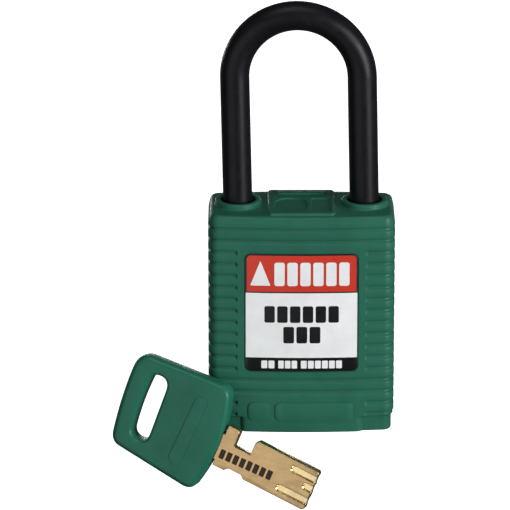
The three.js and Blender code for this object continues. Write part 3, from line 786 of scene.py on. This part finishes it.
def build_cover():
    columns = outline_columns()
    rings = []
    for i in range(7):
        angle = math.radians(90 * i / 6)
        inset = COVER_INSET + COVER_ROUND * (1 - math.sin(angle))
        rings.append(outline_ring(columns, inset, COVER_ROUND * (1 - math.cos(angle))))
    for z, extra in ((COVER_TOP - 0.12, 0.0), (COVER_TOP - 0.03, 0.03), (COVER_TOP, 0.12)):
        rings.append(outline_ring(columns, COVER_INSET + extra, z))
    cover = rings_object("cover_plate", rings, GREEN)
    hole_rim = 0.35
    rim = [(COVER_HOLE + hole_rim, -1.0)]
    rim += arc((COVER_HOLE + hole_rim, hole_rim), hole_rim, 270, 180, 5)
    rim.append((COVER_HOLE, COVER_TOP + 1))
    boolean(cover, lathe_solid("hole", rim, 0, 0, GREEN), "DIFFERENCE")
    for x, y in PIN_PLACES:
        tool = [(PIN_HEAD_HOLE + 0.15, -1.0), (PIN_HEAD_HOLE + 0.15, 0.0), (PIN_HEAD_HOLE, 0.15)]
        tool += [(PIN_HEAD_HOLE, PIN_HEAD_DEPTH), (PIN_HOLE, PIN_HEAD_DEPTH), (PIN_HOLE, 5)]
        boolean(cover, lathe_solid("pin_hole", tool, x, y, GREEN, 40), "DIFFERENCE")
    smooth_by_angle(cover, 40)
    carry(cover, "root", "bottom_cover")


# ------------------------------------------------------------------ labels

PLATE_BACK = LABEL_RECESS - LABEL_GAP
PLATE_FACE = PLATE_BACK - LABEL_THICK
INK_STEP = 0.012
INK_SINK = 0.004  # how far a patch reaches into what it stands on
HEADER_LOW = 31.5
FOOTER_HIGH = 17.05
LINE = 0.28  # the dark line round the red header
PANEL_EDGE = 0.06


def ink_patch(name, outline, side, layer, material):
    """A printed patch: a thin layer that stands on the plate, one step up per layer."""
    back = PLATE_FACE - (layer - 1) * INK_STEP
    return crowned_plate(name, outline, back + INK_SINK, INK_STEP + INK_SINK, side, material)


def ink(name, outline, layer, material):
    """A patch on the front label."""
    return carry(ink_patch(name, outline, FRONT, layer, material), "root")


def bar_outline(x0, x1, z0, z1, radius):
    middle = (x0 + x1) / 2
    points = rounded_rectangle((x1 - x0) / 2, z0, z1, radius, 5)
    return [(middle + x, z) for x, z in points]


def merged(objects, name):
    """Joins meshes that share a material into one object."""
    bm = bmesh.new()
    for obj in objects:
        bm.from_mesh(obj.data)
    mesh = objects[0].data
    bm.to_mesh(mesh)
    bm.free()
    for obj in objects[1:]:
        bpy.data.objects.remove(obj)
    objects[0].name = name
    return objects[0]


def word_bars(name, rows, side, layer, material, radius):
    """Rows of plain rounded bars that stand for words. Each row is [left, right, low,
    high, widths, gap], and the bars share the row in proportion to their widths."""
    patches = []
    for x0, x1, z0, z1, widths, gap in rows:
        unit = (x1 - x0 - gap * (len(widths) - 1)) / sum(widths)
        x = x0
        for width in widths:
            outline = bar_outline(x, x + width * unit, z0, z1, radius)
            patches.append(ink_patch(name, outline, side, layer, material))
            x += width * unit + gap
    return carry(merged(patches, name), "root")


def header_outline(shrink):
    """The top panel: rounded above, square below."""
    w = LABEL_HALF_WIDTH - shrink
    high = LABEL_HIGH - shrink
    r = LABEL_CORNER - shrink
    points = [(-w, HEADER_LOW + shrink), (w, HEADER_LOW + shrink)]
    points += arc((w - r, high - r), r, 0, 90, 6)
    points += arc((-w + r, high - r), r, 90, 180, 6)
    return points


def rounded_triangle(x0, x1, z0, z1, radius):
    """An upright triangle with slightly rounded corners."""
    corners = [Vector((x0, z0)), Vector((x1, z0)), Vector(((x0 + x1) / 2, z1))]
    points = []
    for i, corner in enumerate(corners):
        before = (corners[i - 1] - corner).normalized()
        after = (corners[(i + 1) % 3] - corner).normalized()
        for t in (0, 0.25, 0.5, 0.75, 1):
            p = corner + before * radius * (1 - t) ** 2 + after * radius * t**2
            points.append((p.x, p.y))
    return points


HEADER_BARS = [(-5.75, 10.1, 33.1, 38.3, (1,) * 6, 0.55)]
PANEL_BARS = [
    (-7.85, 7.9, 24.9, 28.6, (1,) * 6, 0.5),
    (-3.85, 4.0, 20.3, 24.0, (1,) * 3, 0.5),
]
FOOTER_BARS = [
    (-8.5, -5.7, 14.65, 16.4, (1,) * 2, 0.25),
    (-4.9, -0.9, 14.65, 16.4, (1,) * 3, 0.25),
    (-0.1, 8.6, 14.65, 16.4, (1,) * 6, 0.25),
]
WRITING_LINES = [(-9.6, 9.6, z, z + 0.22, (1,), 0.0) for z in (19.3, 23.5, 27.7)]
HEADING_BARS = [(-9.6, 9.6, 34.1, 37.1, (5, 4, 3), 0.8)]


def label_plate(name, side, material, replaced):
    outline = rounded_rectangle(LABEL_HALF_WIDTH, LABEL_LOW, LABEL_HIGH, LABEL_CORNER)
    plate = crowned_plate(name, outline, PLATE_BACK, LABEL_THICK, side, material, 0.05)
    carry(plate, "root", replaced)


def build_front_label():
    label_plate("front_plate", FRONT, INK_BLACK, "front_label")
    w = LABEL_HALF_WIDTH - PANEL_EDGE
    panel = [(-w, FOOTER_HIGH), (w, FOOTER_HIGH), (w, HEADER_LOW), (-w, HEADER_LOW)]
    ink("front_white_panel", panel, 1, INK_WHITE)
    ink("front_header_red", header_outline(LINE), 1, INK_RED)
    ink("front_header_triangle", rounded_triangle(-10.85, -6.55, 33.15, 38.65, 0.25), 2, INK_WHITE)
    for name, rows, layer, material, radius in (
        ("front_header_bars", HEADER_BARS, 2, INK_WHITE, 0.5),
        ("front_panel_bars", PANEL_BARS, 2, INK_BLACK, 0.4),
        ("front_footer_bars", FOOTER_BARS, 1, INK_WHITE, 0.2),
    ):
        word_bars(name, rows, FRONT, layer, material, radius)


def build_back_label():
    label_plate("back_plate", BACK, INK_WHITE, "back_label")
    word_bars("back_writing_lines", WRITING_LINES, BACK, 1, INK_BLACK, 0.09)
    word_bars("back_heading_bars", HEADING_BARS, BACK, 1, INK_BLACK, 0.4)


# ------------------------------------------------------------------ shackle

SHACKLE_LEAN = math.radians(1.28)  # the play in the bores lets the loop lean over
LEAN_FOOT = 44.9
NOTCH_FLOOR = 12.5
NOTCH_LOW = 39.3
NOTCH_HIGH = 43.9
SHACKLE_LIFT = 12.0
CLIP_GROOVE_LOW = 18.6
CLIP_GROOVE_HIGH = 19.8
CLIP_GROOVE_RADIUS = 2.4
TOE_END = 37.8


def shackle_path():
    """[centre, direction] along the rod, from the heel's end over the arch to the toe."""
    arch_z = SHACKLE_TOP - SHACKLE_RADIUS - LEG_X
    stations = []
    straight_steps = 60
    for i in range(straight_steps + 1):
        z = HEEL_END + (arch_z - HEEL_END) * i / straight_steps
        stations.append((Vector((-LEG_X, 0, z)), Vector((0, 0, 1))))
    arch_steps = 96
    for i in range(1, arch_steps):
        angle = math.pi * (1 - i / arch_steps)
        centre = Vector((LEG_X * math.cos(angle), 0, arch_z + LEG_X * math.sin(angle)))
        stations.append((centre, Vector((math.sin(angle), 0, -math.cos(angle)))))
    for i in range(straight_steps + 1):
        z = arch_z + (TOE_END - arch_z) * i / straight_steps
        stations.append((Vector((LEG_X, 0, z)), Vector((0, 0, -1))))
    return stations


def rod_ring(centre, direction, radius, segments=64):
    side = Vector((0, 1, 0)).cross(direction)
    ring = []
    for i in range(segments):
        angle = 2 * math.pi * i / segments
        offset = side * math.cos(angle) + Vector((0, 1, 0)) * math.sin(angle)
        ring.append(centre + offset * radius)
    return ring


def build_shackle():
    stations = shackle_path()
    round_end = 0.6
    rings = []
    for inwards, (centre, direction) in ((1, stations[0]), (-1, stations[-1])):
        for angle in (0, 22, 45, 67):
            a = math.radians(angle)
            inset = round_end * (1 - math.sin(a))
            along = round_end * (1 - math.cos(a))
            place = centre + direction * along * inwards
            rings.append(rod_ring(place, direction, SHACKLE_RADIUS - inset))
    heel_rings, toe_rings = rings[:4], rings[4:]
    middle = [rod_ring(c, d, SHACKLE_RADIUS) for c, d in stations]
    above_end = Vector((0, 0, round_end))
    middle[0] = [p + above_end for p in middle[0]]
    middle[-1] = [p + above_end for p in middle[-1]]
    rod = rings_object("shackle_rod", heel_rings + middle + toe_rings[::-1], BLACK_ROD)
    reach = 5.0  # cutters stand this far from a leg's middle, outside the rod
    cuts = [  # [from x, to x, how far below the bolts the notch stands]
        (LEG_X - reach, NOTCH_FLOOR, 0),
        (-NOTCH_FLOOR, -LEG_X + reach, 0),
        (-NOTCH_FLOOR, -LEG_X + reach, SHACKLE_LIFT),
        (-LEG_X - reach, NOTCH_FLOOR - 2 * LEG_X, SHACKLE_LIFT),
    ]
    for x0, x1, drop in cuts:
        notch = box_object("notch", x0, x1, -reach, reach, NOTCH_LOW - drop, NOTCH_HIGH - drop)
        boolean(rod, notch, "DIFFERENCE")
    groove = cylinder_object("groove", -LEG_X, 0, CLIP_GROOVE_LOW, CLIP_GROOVE_HIGH, reach)
    core = cylinder_object("core", -LEG_X, 0, HEEL_END - 1, BODY_TOP, CLIP_GROOVE_RADIUS)
    boolean(groove, core, "DIFFERENCE")
    boolean(rod, groove, "DIFFERENCE")
    foot = (LEAN_FOOT + BASE_Z) * MM
    for vert in rod.data.vertices:
        rise = max(vert.co.z - foot, 0.0)
        vert.co.x -= rise * math.tan(SHACKLE_LEAN)
    smooth_by_angle(rod, 40)
    carry(rod, "shackle", "shackle")


# ------------------------------------------------------------------ cylinder face, pins

PLUG_RADIUS = 5.7
PLUG_FACE = 1.2
PLUG_FLANGE_RADIUS = 6.4
PLUG_FLANGE_TOP = 3.35
PLUG_TOP = 28.2
KEYWAY_HALF_WIDTH = 4.8
KEYWAY_HALF_THICK = 1.3
KEYWAY_END = 18.6
PLUG_CLIP_GROOVE = 5.1  # radius at the floor of the clip's groove
PLUG_CLIP_HEIGHTS = (26.35, 27.25)
SIDEBAR_SLOT_HALF = 1.1
SIDEBAR_SLOT_FLOOR = 3.75
SIDEBAR_SLOT = (11.7, 24.3)
TANG_SLOT_HALF_WIDTH = 4.4
TANG_SLOT_HALF_THICK = 1.1
TANG_SLOT_LOW = 26.8
CHANNEL_X = 2.6
CHANNEL_Y = 2.4  # 0.4 further out than the sliders and channels of the CAD
CHANNEL_RADIUS = 0.95
CHANNEL_LOW = 8.6
ABOVE_PLUG = 30
BESIDE_PLUG = 7


def build_plug():
    edge = 0.25
    profile = [(PLUG_FLANGE_RADIUS - edge, PLUG_FACE)]
    profile += arc((PLUG_FLANGE_RADIUS - edge, PLUG_FACE + edge), edge, -90, 0, 4)[1:]
    profile += [(PLUG_FLANGE_RADIUS, PLUG_FLANGE_TOP), (PLUG_RADIUS, PLUG_FLANGE_TOP)]
    low, high = PLUG_CLIP_HEIGHTS
    profile += [(PLUG_RADIUS, low), (PLUG_CLIP_GROOVE, low), (PLUG_CLIP_GROOVE, high)]
    profile += [(PLUG_RADIUS, high), (PLUG_RADIUS, PLUG_TOP)]
    plug = lathe_solid("plug_barrel", profile, 0, 0, BRASS)
    w, t = KEYWAY_HALF_WIDTH, KEYWAY_HALF_THICK
    s, floor = SIDEBAR_SLOT_HALF, SIDEBAR_SLOT_FLOOR
    tang_w, tang_t = TANG_SLOT_HALF_WIDTH, TANG_SLOT_HALF_THICK
    tools = [
        box_object("keyway", -w, w, -t, t, 0, KEYWAY_END),
        box_object("slot", -s, s, floor, BESIDE_PLUG, *SIDEBAR_SLOT),
        box_object("slot", -s, s, -BESIDE_PLUG, -floor, *SIDEBAR_SLOT),
        box_object("tang", -tang_w, tang_w, -tang_t, tang_t, TANG_SLOT_LOW, ABOVE_PLUG),
    ]
    for x in (-CHANNEL_X, 0, CHANNEL_X):
        for y in (-CHANNEL_Y, CHANNEL_Y):
            channel = cylinder_object("channel", x, y, CHANNEL_LOW, ABOVE_PLUG, CHANNEL_RADIUS, 32)
            tools.append(channel)
    mouth = []
    for z, grow in ((PLUG_FACE - 1, 0.35), (PLUG_FACE, 0.35), (PLUG_FACE + 0.35, 0.0)):
        mouth.append([(x, y, z) for x, y in rounded_rectangle(w + grow, -t - grow, t + grow, 0.2)])
    tools.append(rings_object("keyway_mouth", mouth, BRASS))
    for tool in tools:
        boolean(plug, tool, "DIFFERENCE")
    smooth_by_angle(plug, 35)
    carry(plug, "plug", "cylinder_plug")


# [radius, height] of a cover pin's outside and of the dimple in its head
PIN_PROFILE = [(1.15, 0.3)] + arc((1.35, 0.5), 0.15, -90, 0, 4)
PIN_PROFILE += [(1.5, 0.6), (1.5, 1.1), (1.0, 1.1), (1.0, 11.8), (0.8, 12.0)]
PIN_DIMPLE = [(0.75, -0.5), (0.75, 0.3), (0.05, 0.65)]


def build_cover_pins():
    names = ("cover_pin_front_left", "cover_pin_back_right")
    for name, (x, y) in zip(names, PIN_PLACES):
        pin = lathe_solid(name + "_turned", PIN_PROFILE, x, y, STEEL, 48)
        boolean(pin, lathe_solid("dimple", PIN_DIMPLE, x, y, STEEL, 32), "DIFFERENCE")
        smooth_by_angle(pin, 40)
        carry(pin, "root", name)


# ------------------------------------------------------------------ key

KEY_TURN = math.radians(17.5)  # the key's face looks a little to the left
KEY_LEAN = math.radians(8)  # and a little upwards
KEY_TILT = math.radians(20.9)  # the blade points down and to the right
KEY_PLACE = Vector((-17.42, -15.5, -0.6))
KEY_FRAME = (
    Matrix.Rotation(-KEY_TURN, 3, "Z")
    @ Matrix.Rotation(math.pi / 2 - KEY_LEAN, 3, "X")
    @ Matrix.Rotation(-KEY_TILT, 3, "Z")
)
KEY_U, KEY_V, KEY_W = KEY_FRAME.col  # along the blade, across it, out of its front
BOW_THICK = 4.66
BOW_ROUND = 1.25
SLOT_ROUND = 0.8
BLADE_THICK = 2.2
BLADE_LENGTH = 22.4
TRACK_DEPTH = 0.6
TANG_LENGTH = 6.0
TANG_HALF_WIDTH = 3.0
TANG_GAP = 0.3
BOW_BAR_U = -6.9  # middle of the handle's raised bar
BOW_BAR_TURN = math.radians(-2)


def key_point(u, v, w):
    return KEY_PLACE + KEY_U * u + KEY_V * v + KEY_W * w


def path_points(start, *steps):
    """Points along straight steps (u, v) and curved steps (control, end), closed."""
    points = [Vector(start)]
    for step in steps:
        if len(step) == 2:
            begin, end = points[-1], Vector(step)
            count = max(2, int((end - begin).length / 0.5))
            points += [begin.lerp(end, i / count) for i in range(1, count + 1)]
        else:
            begin, control, end = points[-1], Vector(step[:2]), Vector(step[2:])
            count = 14
            for i in range(1, count + 1):
                t = i / count
                points.append(begin * (1 - t) ** 2 + control * 2 * t * (1 - t) + end * t * t)
    return points[:-1]


BOW_OUTLINE = path_points(
    (-20.2, 11.3),
    (-4.9, 12.7),
    (-2.1, 13.0, -1.4, 10.4),
    (1.6, 0.6, -0.8, -9.3),
    (-1.2, -11.6, -3.8, -11.4),
    (-19.7, -10.0),
    (-21.7, -9.8, -22.2, -7.6),
    (-23.6, 0.3, -23.6, 7.9),
    (-23.4, 11.1, -20.2, 11.3),
)
BOW_SLOT = path_points(
    (-19.0, 6.3),
    (-19.0, 8.3, -17.0, 8.35),
    (-15.2, 8.3, -14.9, 6.3),
    (-14.4, -4.4),
    (-14.4, -6.5, -16.3, -6.6),
    (-18.1, -6.6, -18.5, -4.9),
    (-19.3, 0.9, -19.0, 6.3),
)


def relaxed(points, passes=2):
    """Evens out the corners of a closed line a little."""
    for _ in range(passes):
        count = len(points)
        points = [
            points[i] * 0.5 + (points[i - 1] + points[(i + 1) % count]) * 0.25
            for i in range(count)
        ]
    return points


def shifted(points, distance):
    """The closed line moved to its left by distance, point by point."""
    moved = []
    count = len(points)
    for i in range(count):
        along = (points[(i + 1) % count] - points[i - 1]).normalized()
        moved.append(points[i] + Vector((-along.y, along.x)) * distance)
    return moved


def is_clockwise(points):
    area = sum(p.x * q.y - q.x * p.y for p, q in zip(points, points[1:] + points[:1]))
    return area < 0


def rim_levels(radius, half):
    """[inset, height] over a rounded rim, from the front edge to the back edge."""
    front = []
    for angle in range(90, -1, -15):
        a = math.radians(angle)
        front.append((radius * (1 - math.cos(a)), half - radius + radius * math.sin(a)))
    back = [(inset, -height) for inset, height in reversed(front)]
    return front + back


def build_bow():
    bm = bmesh.new()
    half = BOW_THICK / 2
    rims = []
    for line, radius, inwards in ((BOW_OUTLINE, BOW_ROUND, 1), (BOW_SLOT, SLOT_ROUND, -1)):
        line = relaxed(line)
        if is_clockwise(line):
            line = line[::-1]
        levels = []
        for inset, height in rim_levels(radius, half):
            ring = shifted(line, inwards * inset)
            levels.append([bm.verts.new(put(*key_point(p.x, p.y, height))) for p in ring])
        count = len(line)
        for a, b in zip(levels, levels[1:]):
            for i in range(count):
                j = (i + 1) % count
                bm.faces.new((a[i], a[j], b[j], b[i]))
        rims.append(levels)
    for level in (0, -1):
        edges = []
        for levels in rims:
            ring = levels[level]
            for i in range(len(ring)):
                edges.append(bm.edges.get((ring[i], ring[(i + 1) % len(ring)])))
        bmesh.ops.triangle_fill(bm, edges=edges, use_beauty=True)
    bow = object_from_bmesh("key_handle", bm, KEY_GREEN)
    boolean(bow, tang_socket(), "DIFFERENCE")
    for side in (1, -1):
        boolean(bow, bow_bar(side), "UNION")
    smooth_by_angle(bow, 30)
    carry(bow, "key", "key_bow")


def key_prism(name, outline, w0, w1, material):
    """A flat outline [u, v] of the key's plane between two depths."""
    rings = [[tuple(key_point(u, v, w)) for u, v in outline] for w in (w0, w1)]
    return rings_object(name, rings, material)


def tang_socket():
    """The space in the handle that takes the blade's tang, with a gap all round."""
    half = BLADE_THICK / 2 + TANG_GAP
    u0, v = -TANG_LENGTH - TANG_GAP, TANG_HALF_WIDTH + TANG_GAP
    return key_prism("tang", [(u0, -v), (3, -v), (3, v), (u0, v)], -half, half, BRASS)


def bow_bar(side):
    """A plain raised bar across the handle."""
    half = BOW_THICK / 2
    outline = rounded_rectangle(1.35, -7.6, 8.6, 1.3, 8)
    c, s = math.cos(BOW_BAR_TURN), math.sin(BOW_BAR_TURN)
    turned = [(BOW_BAR_U + x * c - y * s, x * s + y * c) for x, y in outline]
    low, high = half - 0.5, half + 0.15
    return key_prism("bar", turned, side * low, side * high, KEY_GREEN)


BLADE_OUTLINE = [
    (-TANG_LENGTH, -TANG_HALF_WIDTH),
    (0.5, -TANG_HALF_WIDTH),
    (0.5, -4.3),
    (3.2, -4.3),
    (4.0, -3.5),
    (7.0, -3.5),
    (7.8, -4.2),
    (22.0, -4.2),
    (BLADE_LENGTH, -3.8),
    (BLADE_LENGTH, 4.55),
    (22.0, 4.95),
    (7.8, 4.95),
    (7.2, 4.35),
    (7.2, 1.45),
    (3.3, 1.45),
    (3.3, 4.65),
    (2.8, 5.15),
    (0.5, 5.15),
    (0.5, TANG_HALF_WIDTH),
    (-TANG_LENGTH, TANG_HALF_WIDTH),
]
TRACKS = ((3.05, 5.9), (0.8, 2.2), (-2.15, 7.3))  # [middle, length] of each milled track
TRACK_HALF = 0.75
MARK_COUNT = 8  # plain dark bars in a row along the blade
MARK_FIRST_U = 1.05
MARK_PITCH = 1.58
MARK_LOW = -2.25
MARK_RISE = 0.09  # from one bar to the next
MARK_WIDTH = 1.15
MARK_HEIGHT = 2.1
MARK_DEPTH = 0.12


def track_tool(middle, length, side):
    """A milled track, open at the tip, with a round inner end."""
    u0 = BLADE_LENGTH - length + TRACK_HALF
    points = [(BLADE_LENGTH + 1, middle - TRACK_HALF), (BLADE_LENGTH + 1, middle + TRACK_HALF)]
    points += arc((u0, middle), TRACK_HALF, 90, 270, 12)
    half = BLADE_THICK / 2
    # The cut faces take the lighter brass, a painted highlight.
    return key_prism("track", points, side * (half - TRACK_DEPTH), side * (half + 1), TRACK_HIGHLIGHT_BRASS)


def build_blade():
    half = BLADE_THICK / 2
    blade = key_prism("key_shank", BLADE_OUTLINE, -half, half, BRASS)
    # A second slot for the tracks' lighter brass, a painted highlight.
    blade.data.materials.append(TRACK_HIGHLIGHT_BRASS)
    for side in (1, -1):
        for middle, length in TRACKS:
            boolean(blade, track_tool(middle, length, side), "DIFFERENCE")
    bevelled(blade, 0.16, 3, 40)
    blade.data.materials.append(ENGRAVED)
    for i in range(MARK_COUNT):
        u = MARK_FIRST_U + i * MARK_PITCH
        low = MARK_LOW + i * MARK_RISE
        outline = bar_outline(u, u + MARK_WIDTH, low, low + MARK_HEIGHT, 0.2)
        mark = key_prism("mark", outline, half - MARK_DEPTH, half + 1, ENGRAVED)
        boolean(blade, mark, "DIFFERENCE")
    smooth_by_angle(blade, 35)
    carry(blade, "key", "key_blade")


# ------------------------------------------------------------------ CAD nodes that stay

SLIDERS = range(1, 7)
CAD_FINISH = {  # material slot: [material, nodes]
    "zinc_casting": (ZINC, ["cylinder_housing", "bolt_carrier"]),
    "brass": (BRASS, ["spring_plunger", "spring_cap"]),
    "steel": (
        STEEL,
        ["heel_retaining_clip", "toe_latch_bolt", "heel_latch_bolt", "plug_retaining_clip"]
        + ["drive_cam", "sidebar_front", "sidebar_back"]
        + [f"slider_{number}" for number in SLIDERS],
    ),
    "spring_steel": (
        SPRING_STEEL,
        ["shackle_spring"] + [f"slider_spring_{number}" for number in SLIDERS],
    ),
}


def dress_cad_nodes():
    for slot_name, (material, names) in CAD_FINISH.items():
        for name in names:
            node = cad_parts[name]
            node.data.materials.clear()
            node.data.materials.append(material)


# ------------------------------------------------------------------ floor, light, camera


FLOOR_Z = -0.16  # metres


def build_stage():
    bpy.ops.mesh.primitive_plane_add(size=12, location=(0, 0, FLOOR_Z))
    floor = bpy.context.object
    floor.name = "floor"
    n = Nodes("floor_white")
    base = n.ramp(n.noise(3, 2), [(0.3, (0.9, 0.9, 0.9)), (0.7, (0.93, 0.93, 0.93))])
    n.finish(base, 0.9, None, Emission_Color=(1, 1, 1, 1), Emission_Strength=1.0)
    floor.data.materials.append(n.material)
    floor.visible_diffuse = False
    floor.visible_glossy = False


# [name, place in metres, size in metres, power in watts]
LIGHTS = (
    ("key_light", (0.66, -0.58, 0.05), (0.35, 0.5), 8.1),
    ("fill_light", (-0.51, -0.75, -0.09), (0.9, 0.9), 2.35),
    ("top_light", (-0.05, -0.28, 0.75), (0.4, 0.4), 1.5),
    ("back_light", (-0.25, 0.8, -0.07), (0.9, 0.055), 1.5),
)
LIGHT_TARGET = Vector((-0.01, 0, -0.05))
WORLD_COLOUR = (0.9, 0.95, 1, 1)
WORLD_STRENGTH = 0.08
VIEW_TARGET = Vector((-0.00983, 0, -0.04973))
VIEW_DISTANCE = 1.0
VIEW_ELEVATION = math.radians(18.4)
LENS = 331.8


def area_light(name, place, size, power):
    light = bpy.data.lights.new(name, "AREA")
    light.shape = "RECTANGLE"
    light.size, light.size_y = size
    light.energy = power
    obj = bpy.data.objects.new(name, light)
    bpy.context.scene.collection.objects.link(obj)
    obj.location = place
    obj.rotation_euler = (LIGHT_TARGET - Vector(place)).to_track_quat("-Z", "Y").to_euler()


def build_lights_and_camera():
    scene = bpy.context.scene
    scene.view_settings.view_transform = "Standard"
    world = bpy.data.worlds.new("studio")
    world.use_nodes = True
    background = world.node_tree.nodes["Background"]
    background.inputs["Color"].default_value = WORLD_COLOUR
    background.inputs["Strength"].default_value = WORLD_STRENGTH
    scene.world = world
    for light in LIGHTS:
        area_light(*light)
    camera = bpy.data.cameras.new("camera")
    camera.lens = LENS
    camera.sensor_width = 36
    obj = bpy.data.objects.new("camera", camera)
    scene.collection.objects.link(obj)
    back = Vector((0, -math.cos(VIEW_ELEVATION), math.sin(VIEW_ELEVATION)))
    obj.location = VIEW_TARGET + back * VIEW_DISTANCE
    obj.rotation_mode = "QUATERNION"
    obj.rotation_quaternion = (-back).to_track_quat("-Z", "Y")
    scene.camera = obj


# ------------------------------------------------------------------ the scene

build_body()
build_cover()
build_front_label()
build_back_label()
build_shackle()
build_plug()
build_cover_pins()
build_bow()
build_blade()
dress_cad_nodes()
build_stage()
build_lights_and_camera()
